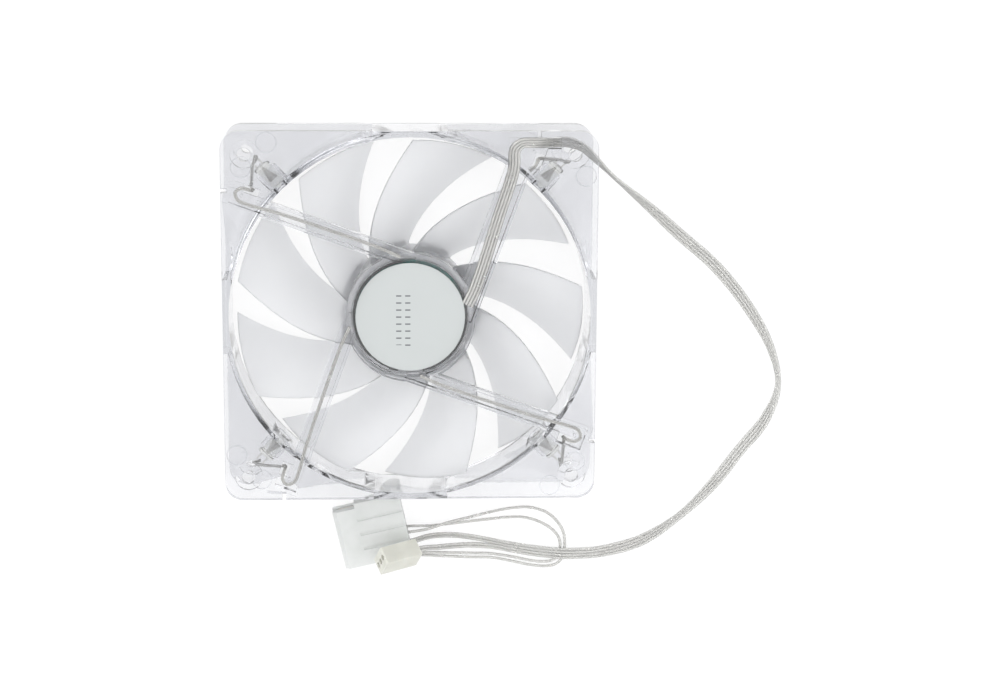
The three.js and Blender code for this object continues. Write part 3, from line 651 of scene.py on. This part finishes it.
# Routes in millimetres. A ribbon's fourth number is its roll in degrees: 0 lies flat, 90 on edge.
HELD_RIBBON = [
    (*strut_point(0, 9.8, 16.0, 22.9), 0), (*strut_point(0, 15.0, 16.5, 22.8), 0),
    (*strut_point(0, 22.4, 16.4, 22.8), 0), (*strut_point(0, 40, 15.5, 22.8), 0),
    (*strut_point(0, 56, 14.7, 22.8), 0), (33.4, 54.0, 23.2, 15), (35.4, 56.0, 23.5, 30),
    (38.6, 56.3, 23.4, 30), (41.8, 56.2, 22.3, 30), (46.0, 56.1, 19.6, 25),
    (51.2, 55.8, 17.9, 30), (56.0, 53.6, 17.0, 50), (58.75, 51.05, 16.4, 60),
]
FREE_RIBBON = [
    (58.75, 51.05, 16.4, 60), (64.6, 45.3, 14.6, 80), (69.0, 41.4, 11.6, 75),
    (78.5, 33.2, 5.4, 45), (89.5, 23.2, 1.4, 10), (101.8, 12.4, 0.6, 0),
    (113.2, -1.6, 1.0, 20), (121.0, -15.6, 1.8, 60), (123.6, -28.0, 2.0, 80),
    (119.6, -39.6, 1.6, 45), (111.4, -50.6, 0.6, 0), (101.8, -62.8, 1.6, 45),
    (91.0, -73.2, 1.95, 75), (78.4, -81.6, 1.4, 35), (64.6, -85.6, 0.8, 0),
    (56.2, -86.0, 1.4, 0), (51.6, -85.9, 1.75, 0), (48.1, -85.6, 1.7, 0),
]
DRIVE_PAIR = [
    (48.1, -84.6, 1.7), (42.5, -84.1, 1.1), (33.4, -82.7, 0.6), (27.8, -81.5, 0.55),
    (20.5, -80.1, 0.55), (15.0, -79.3, 0.9), (9.4, -79.0, 2.1), (5.7, -79.2, 3.3),
    (2.9, -79.8, 4.1), (0.8, -80.4, 4.3), (-1.6, -81.0, 4.35),
]
FAN_PAIR = [
    (48.1, -86.6, 1.7), (42.6, -86.1, 1.1), (35.2, -84.9, 0.6), (27.8, -83.4, 0.8),
    (20.4, -82.4, 2.4), (13.0, -81.6, 6.4), (8.6, -80.9, 10.0), (5.4, -80.2, 12.9),
    (2.6, -80.2, 14.4), (0.8, -80.4, 15.3),
]
OUTER_JUMPER = [
    (-1.6, -77.3, 4.9), (-0.1, -77.0, 4.9), (5.7, -76.2, 4.4), (13.1, -74.3, 2.8),
    (20.5, -73.0, 1.0), (27.8, -71.3, 0.6), (35.1, -70.0, 0.6), (40.6, -69.9, 0.6),
    (46.3, -71.7, 0.6), (50.1, -75.1, 0.6), (52.2, -79.0, 0.6), (52.6, -83.6, 0.6),
    (51.9, -87.4, 0.6), (49.6, -89.9, 0.6), (45.8, -90.6, 0.6), (40.8, -90.1, 0.6),
    (35.3, -88.9, 0.6), (27.8, -87.3, 1.0), (20.4, -86.6, 2.6), (13.0, -85.4, 5.3),
    (8.0, -84.3, 8.2), (4.4, -83.4, 10.4), (1.7, -83.0, 11.7), (0.2, -83.2, 12.4),
]
INNER_JUMPER = [
    (-1.9, -75.5, 3.7), (-0.5, -75.3, 3.6), (5.8, -75.5, 2.6), (13.1, -75.3, 1.2),
    (20.4, -74.6, 0.6), (27.8, -73.8, 0.6), (33.3, -73.3, 0.6), (38.8, -73.4, 0.6),
    (44.4, -75.2, 0.6), (48.8, -78.2, 0.6), (50.7, -81.0, 0.6), (51.0, -84.2, 0.6),
    (50.2, -87.0, 0.6), (48.2, -88.6, 0.6), (45.0, -89.0, 0.6), (40.8, -88.5, 0.6),
    (35.3, -87.3, 0.6), (27.8, -85.8, 1.5), (20.4, -84.9, 3.6), (13.0, -83.8, 6.6),
    (8.0, -82.8, 9.5), (4.6, -82.2, 11.7), (2.0, -81.9, 12.8), (0.4, -82.1, 13.5),
]


def add_cords():
    """The free ribbon, its two pairs after the split, and the two jumper wires."""
    pair = (-RIBBON_PITCH / 2, RIBBON_PITCH / 2)
    four = [RIBBON_PITCH * k for k in (-1.5, -0.5, 0.5, 1.5)]
    wires("held_ribbon", HELD_RIBBON, four, ["ribbon_lead"])
    drive_pieces = ["drive_plug_shell", *[f"drive_plug_contact_{k}" for k in range(1, 5)]]
    fan_pieces = ["fan_plug_shell", *[f"fan_plug_contact_{k}" for k in range(1, 4)]]
    # Name, route, places of the wires across it, width, length in metres, far end, what hangs on it
    table = [
        ("power_ribbon", FREE_RIBBON, four, 4 * RIBBON_PITCH, 0.212, "object", []),
        ("drive_pair", DRIVE_PAIR, pair, 2 * RIBBON_PITCH, 0.050, "connector", drive_pieces),
        ("fan_pair", FAN_PAIR, pair, 2 * RIBBON_PITCH, 0.052, "connector", fan_pieces),
        ("jumper_outer", OUTER_JUMPER, (0.0,), 2 * WIRE_RADIUS, 0.123, "connector", fan_pieces),
        ("jumper_inner", INNER_JUMPER, (0.0,), 2 * WIRE_RADIUS, 0.115, "connector", fan_pieces),
    ]
    for name, points, shifts, width, length, far_end, on_it in table:
        piece, path = wires(f"{name}_wires", points, shifts, [name])


# ---- Housing ----
def add_housing():
    """The one-piece clear housing, with its moulded edges rounded."""
    bm = merged_copy("frame")
    piece = add_piece(
        "clear_frame", bm, [finish["clear_housing"]], STILL, ["frame"], 30.0)
    soften(piece, width_mm=0.22, segments=2, angle=50.0)


def add_pin_marks():
    """Round marks that the mould's ejector pins leave inside the rear flange's corners."""
    ring = [
        (PIN_MARK_RADIUS, PIN_MARK_TOP), (PIN_MARK_RADIUS + 0.05, PIN_MARK_FLOOR),
        (PIN_MARK_RADIUS + 0.35, PIN_MARK_FLOOR), (PIN_MARK_RADIUS + 0.4, PIN_MARK_TOP),
        (PIN_MARK_RADIUS, PIN_MARK_TOP),
    ]
    bm = bmesh.new()
    for index in range(4):
        turn = Matrix.Rotation(math.radians(90 * index), 4, "Z")
        for x, y in PIN_MARKS:
            place = turn @ Matrix.Translation(Vector((x, y, 0)) * MM)
            turned(bm, ring, 40, place)
    add_piece("pin_marks", bm, [finish["clear_housing"]], STILL)


# ---- Impeller ----
def sweep_angle(sweep_terms, share):
    """How far round a blade's edge is, in degrees, at a share of the blade's reach."""
    start, slope, curve = sweep_terms
    return start + slope * share + curve * share * share


def blade_place(span, chord, side):
    """A point of the first blade: span and chord run 0 to 1, side is -0.5 or 0.5."""
    reach = BLADE_TIP_RADIUS - HUB_RADIUS
    radius = HUB_RADIUS - BLADE_SINK + (reach + BLADE_SINK) * span
    share = (radius - HUB_RADIUS) / reach
    leading = sweep_angle(LEADING_SWEEP, share)
    trailing = sweep_angle(TRAILING_SWEEP, share)
    angle = FIRST_TIP_ANGLE + leading + (trailing - leading) * chord
    front = HUB_FRONT + BLADE_FRONT_GAP + BLADE_TAPER * share
    rear = HUB_REAR - BLADE_REAR_GAP - BLADE_TAPER * share
    camber = BLADE_CAMBER * math.sin(math.pi * chord)
    thinning = 1 - BLADE_EDGE_THINNING * abs(2 * chord - 1) ** 3
    root = 1 + 1.1 * math.exp(-(radius - HUB_RADIUS) / BLADE_ROOT_FILLET)
    lift = side * BLADE_THICKNESS * thinning * root
    pitch = math.atan2(rear - front, radius * math.radians(trailing - leading))
    turn = math.radians(angle) - lift * math.sin(pitch) / radius
    height = front + (rear - front) * chord + camber + lift * math.cos(pitch)
    return Vector((radius * math.cos(turn), radius * math.sin(turn), height)) * MM


def add_impeller():
    """Nine swept blades on a hub cup."""
    bm = bmesh.new()
    bmesh.ops.create_grid(bm, x_segments=26, y_segments=18, size=0.5)
    skin = bmesh.ops.extrude_face_region(bm, geom=list(bm.faces))["geom"]
    upper = [item for item in skin if isinstance(item, bmesh.types.BMVert)]
    bmesh.ops.translate(bm, vec=(0, 0, 1.0), verts=upper)
    for vert in bm.verts:
        span, chord, side = vert.co.x + 0.5, vert.co.y + 0.5, vert.co.z - 0.5
        vert.co = blade_place(span, chord, side)
    bmesh.ops.recalc_face_normals(bm, faces=bm.faces)
    rim = [edge for edge in bm.edges if edge.calc_face_angle(0) > math.radians(60)]
    bmesh.ops.bevel(
        bm, geom=rim, offset=BLADE_EDGE_ROUND * MM, offset_type="OFFSET", segments=2, profile=0.5,
        affect="EDGES", clamp_overlap=True, material=-1)
    first = list(bm.verts) + list(bm.edges) + list(bm.faces)
    for index in range(1, BLADE_COUNT):
        copy = bmesh.ops.duplicate(bm, geom=first)["geom"]
        verts = [item for item in copy if isinstance(item, bmesh.types.BMVert)]
        turn = Matrix.Rotation(2 * math.pi * index / BLADE_COUNT, 3, "Z")
        bmesh.ops.rotate(bm, cent=(0, 0, 0), matrix=turn, verts=verts)
    turned(bm, [
        (0, HUB_FRONT), (HUB_RADIUS - 2.1, HUB_FRONT), (HUB_RADIUS - 1.1, HUB_FRONT + 0.15),
        (HUB_RADIUS - 0.35, HUB_FRONT + 0.7), (HUB_RADIUS, HUB_FRONT + 1.6),
        (HUB_RADIUS, HUB_REAR - HUB_LIP), (HUB_RADIUS - HUB_LIP, HUB_REAR),
        (HUB_INNER + HUB_LIP, HUB_REAR), (HUB_INNER, HUB_REAR - HUB_LIP),
        (HUB_INNER, CUP_FACE), (BOSS_RADIUS, CUP_FACE), (BOSS_RADIUS, BOSS_REAR),
        (SHAFT_SEAT_RADIUS, BOSS_REAR), (SHAFT_SEAT_RADIUS, SHAFT_SEAT_FRONT),
        (0, SHAFT_SEAT_FRONT)], HUB_STEPS)
    add_piece(
        "swept_impeller", bm, [finish["frosted_blade"]], ROTOR,
        ["impeller"], 40.0)


# ---- Corner lights ----
def light_matrix(index):
    """Lays +Z along a corner's outward diagonal at the light's height."""
    lay = Matrix.Rotation(math.radians(90), 4, "Y")
    turn = Matrix.Rotation(math.radians(45 + 90 * index), 4, "Z")
    return Matrix.Translation((0, 0, LIGHT_HEIGHT * MM)) @ turn @ lay


# Outlines of a light's inside, as radius and distance out: the cup on its post, and the dot
LIGHT_CUP = (
    (0, 61.9), (0.75, 61.9), (1.05, 61.4), (1.15, 61.5), (0.8, 63.6), (0.3, 66.0), (0, 66.0),
)
LIGHT_DOT = ((0, 61.6), (0.6, 61.6), (0.7, 61.85), (0, 61.85))


def light_body():
    """The outline of a light's clear body: round nose, barrel and rim."""
    nose = [
        (LIGHT_RADIUS * math.sin(math.radians(a)),
         LIGHT_TIP + LIGHT_RADIUS * (1 - math.cos(math.radians(a))))
        for a in range(0, 91, 10)]
    rim = [
        (LIGHT_RADIUS, LIGHT_RIM), (LIGHT_RIM_RADIUS - LIGHT_RIM_ROUND, LIGHT_RIM + 0.1),
        (LIGHT_RIM_RADIUS, LIGHT_RIM + 0.2), (LIGHT_RIM_RADIUS, LIGHT_BASE - LIGHT_RIM_ROUND),
        (LIGHT_RIM_RADIUS - LIGHT_RIM_ROUND, LIGHT_BASE), (0, LIGHT_BASE)]
    return nose + rim


def add_light_pin(bm, place, side):
    """One of a light's two square pins."""
    middle = Vector((0, side * LIGHT_PIN_OFFSET, LIGHT_PIN_MIDDLE)) * MM
    pin = bmesh.ops.create_cube(
        bm, size=LIGHT_PIN_WIDTH * MM, matrix=place @ Matrix.Translation(middle))["verts"]
    axis = (place.to_3x3() @ Vector((0, 0, 1))).normalized()
    for vert in pin:
        vert.co += axis * (vert.co - place @ middle).dot(axis) * LIGHT_PIN_STRETCH
    for face in {face for vert in pin for face in vert.link_faces}:
        face.material_index = 1


def add_corner_lights():
    """Four round-nosed lights with their cup, post and pins showing through the body."""
    for index in range(4):
        place = light_matrix(index)
        bm = bmesh.new()
        turned(bm, light_body(), 40, place, 0)
        turned(bm, LIGHT_CUP, 20, place, 1)
        turned(bm, LIGHT_DOT, 16, place, 2)
        for side in (-1, 1):
            add_light_pin(bm, place, side)
        add_piece(
            f"corner_lamp_{index + 1}", bm,
            [finish["light_epoxy"], finish["tinned_core"], finish["phosphor"]],
            STILL, [f"corner_light_{index + 1}"], 50.0)


# A lamp lead's points by its strut: in the ribbon's corner, along the other struts, and the dive
RIBBON_CORNER_LEAD = ((57.4, 19.6, 22.9), (59.6, 20.8, 22.9))
STRUT_LEAD = (
    (9.6, 17.2, 22.9), (16, 17.7, 22.85), (30, 17.7, 22.8), (52, 17.2, 22.8),
    (60.5, 16.6, 22.8), (64.4, 16.9, 22.8), (65.9, 18.9, 22.8), (64.6, 20.8, 22.8),
)
LEAD_DIVE = ((61.8, 21.1, 22.3), (60.7, 21.1, 19.9), (61.6, 21.6, 17.8))
# Its last points by the corner's diagonal
LEAD_END = ((71.1, 1.5, 15.5), (69.2, 0, 12.6))


def add_light_leads():
    """Each lamp's two wires: along the strut, round in the corner pocket and down to the pins."""
    for index in range(4):
        start = STRUT_LEAD if index else RIBBON_CORNER_LEAD
        points = [strut_point(index, *at) for at in start + LEAD_DIVE]
        points += [corner_point(index, *at) for at in LEAD_END]
        wires(f"lamp_lead_{index + 1}", points, (-0.5, 0.5),
              [f"light_lead_{index + 1}"], LAMP_LEAD_SCALE)


# ---- Plugs ----
def add_plug_shell(node, name, material, width_mm, place, lead_in_mm):
    """A plug's body, with its mating end's upper edge sloped and its other edges rounded."""
    bm = merged_copy(node)
    away = place.inverted()
    local = {vert: away @ vert.co for vert in bm.verts}
    end = min(co.x for co in local.values()) + 0.1 * MM
    top = max(co.z for co in local.values()) - 0.1 * MM
    edge = [e for e in bm.edges if all(local[v].x < end and local[v].z > top for v in e.verts)]
    bmesh.ops.bevel(
        bm, geom=edge, offset=lead_in_mm * MM, offset_type="OFFSET", segments=1, profile=0.5,
        affect="EDGES", clamp_overlap=True, material=-1)
    piece = add_piece(name, bm, [material], STILL, [node], 30.0)
    soften(piece, width_mm, segments=3, angle=40.0)


def add_plugs():
    """The milky four-way plug and the ivory three-way plug that rests on it."""
    yaw = Matrix.Rotation(math.radians(DRIVE_PLUG_YAW), 4, "Z")
    turn = Euler([math.radians(a) for a in FAN_PLUG_TURN], "ZYX").to_matrix().to_4x4()
    drive_place = Matrix.Translation(Vector(DRIVE_PLUG_AT) * MM) @ yaw
    fan_place = Matrix.Translation(Vector(FAN_PLUG_AT) * MM) @ turn
    add_plug_shell("drive_plug", "drive_plug_shell", finish["milky_nylon"],
                   width_mm=0.4, place=drive_place, lead_in_mm=1.6)
    add_plug_shell("fan_plug", "fan_plug_shell", finish["ivory_nylon"],
                   width_mm=0.3, place=fan_place, lead_in_mm=0.5)
    for index in range(4):
        dress(f"drive_plug_contact_{index + 1}", finish["tinned_metal"])
    for index in range(3):
        dress(f"fan_plug_contact_{index + 1}", finish["tinned_metal"])


# ---- Motor ----
def dress_motor():
    """The CAD nodes inside the hub keep their shapes and get their finishes."""
    table = {
        "flux_ring": "steel", "rotor_magnet": "ferrite", "shaft": "steel",
        "retaining_clip": "black_nylon", "sleeve_bearing": "bronze",
        "thrust_washer": "black_nylon", "bearing_cap": "milky_nylon", "stator_core": "steel",
        "bobbin_front": "milky_nylon", "bobbin_rear": "milky_nylon",
        "circuit_board": "solder_mask", "driver_chip": "black_nylon",
        "board_capacitor": "tinned_metal", "label": "label_film",
    }
    for node, name in table.items():
        dress(node, finish[name])
    for index in range(4):
        dress(f"coil_{index + 1}", finish["wound_copper"])


# ---- Floor and light ----
def add_floor():
    """A plain pale sheet that reaches well past the picture."""
    bm = bmesh.new()
    bmesh.ops.create_grid(bm, x_segments=1, y_segments=1, size=FLOOR_REACH * MM)
    mesh = bpy.data.meshes.new("floor")
    bm.to_mesh(mesh)
    bm.free()
    f = Finish("floor")
    drift = f.noise(60.0, 2.0)
    f.set({
        "Base Color": f.mix(drift, (0.25, 0.25, 0.252), (0.26, 0.26, 0.262)),
        "Roughness": 0.8,
        "Specular IOR Level": 0.1,
        "Emission Color": (1.0, 1.0, 1.0, 1.0),
        "Emission Strength": 0.795,
    })
    mesh.materials.append(f.material)
    floor = bpy.data.objects.new("floor", mesh)
    floor.location.z = -FLOOR_DROP * MM
    bpy.context.scene.collection.objects.link(floor)


def add_area_light(name, place, size, power):
    """A soft panel that faces the origin: place and size in metres, power in watts."""
    data = bpy.data.lights.new(name, "AREA")
    data.shape = "RECTANGLE"
    data.size, data.size_y = size
    data.energy = power
    light = bpy.data.objects.new(name, data)
    light.location = place
    light.rotation_euler = (-Vector(place)).to_track_quat("-Z", "Y").to_euler()
    bpy.context.scene.collection.objects.link(light)


def add_light():
    """A bright, even sky with two large soft panels."""
    world = bpy.data.worlds.new("studio")
    world.use_nodes = True
    sky = Nodes(world.node_tree)
    direction = sky.node("ShaderNodeTexCoord", output="Generated")
    height = sky.node("ShaderNodeSeparateXYZ", None, {0: direction}, "Z")
    colour = sky.node("ShaderNodeValToRGB", {"stops": SKY_STOPS}, {0: height})
    background = world.node_tree.nodes["Background"].inputs
    sky.feed(background["Color"], colour)
    sky.feed(background["Strength"], SKY_STRENGTH)
    bpy.context.scene.world = world
    add_area_light("left_panel", (-0.9, 0.5, 1.0), (1.7, 1.7), 9.5)
    add_area_light("right_panel", (0.9, -0.3, 1.2), (1.5, 1.7), 7.5)
    scene = bpy.context.scene
    scene.view_settings.view_transform = "Standard"
    scene.view_settings.look = "None"
    scene.cycles.transmission_bounces = 16
    scene.cycles.max_bounces = 20
    scene.cycles.transparent_max_bounces = 12


# ---- Build ----
finish = {
    "clear_housing": clear_housing(),
    "frosted_blade": frosted_blade(),
    "steel": brushed_steel("steel", (0.55, 0.555, 0.57)),
    "bronze": brushed_steel("bronze", (0.55, 0.38, 0.20), 0.4),
    "tinned_metal": brushed_steel("tinned_metal", (0.74, 0.73, 0.69), 0.4),
    "ferrite": moulded("ferrite", (0.03, 0.03, 0.032), (0.06, 0.06, 0.065), 0.55),
    "black_nylon": moulded("black_nylon", (0.012, 0.012, 0.013), (0.03, 0.03, 0.032), 0.4),
    "milky_nylon": moulded(
        "milky_nylon", (0.76, 0.78, 0.765), (0.81, 0.825, 0.815), 0.38, 0.1, 0.5),
    "ivory_nylon": moulded(
        "ivory_nylon", (0.69, 0.69, 0.62), (0.75, 0.75, 0.68), 0.40, 0.05, 0.25),
    "wound_copper": wound_copper(),
    "solder_mask": solder_mask(),
    "label_film": label_film(),
    "clear_sleeve": clear_sleeve(),
    "tinned_core": tinned_core(),
    "light_epoxy": light_epoxy(),
    "phosphor": phosphor(),
}
add_camera()
add_plugs()
add_cords()
add_housing()
add_pin_marks()
add_impeller()
add_corner_lights()
add_light_leads()
dress_motor()
add_floor()
add_light()
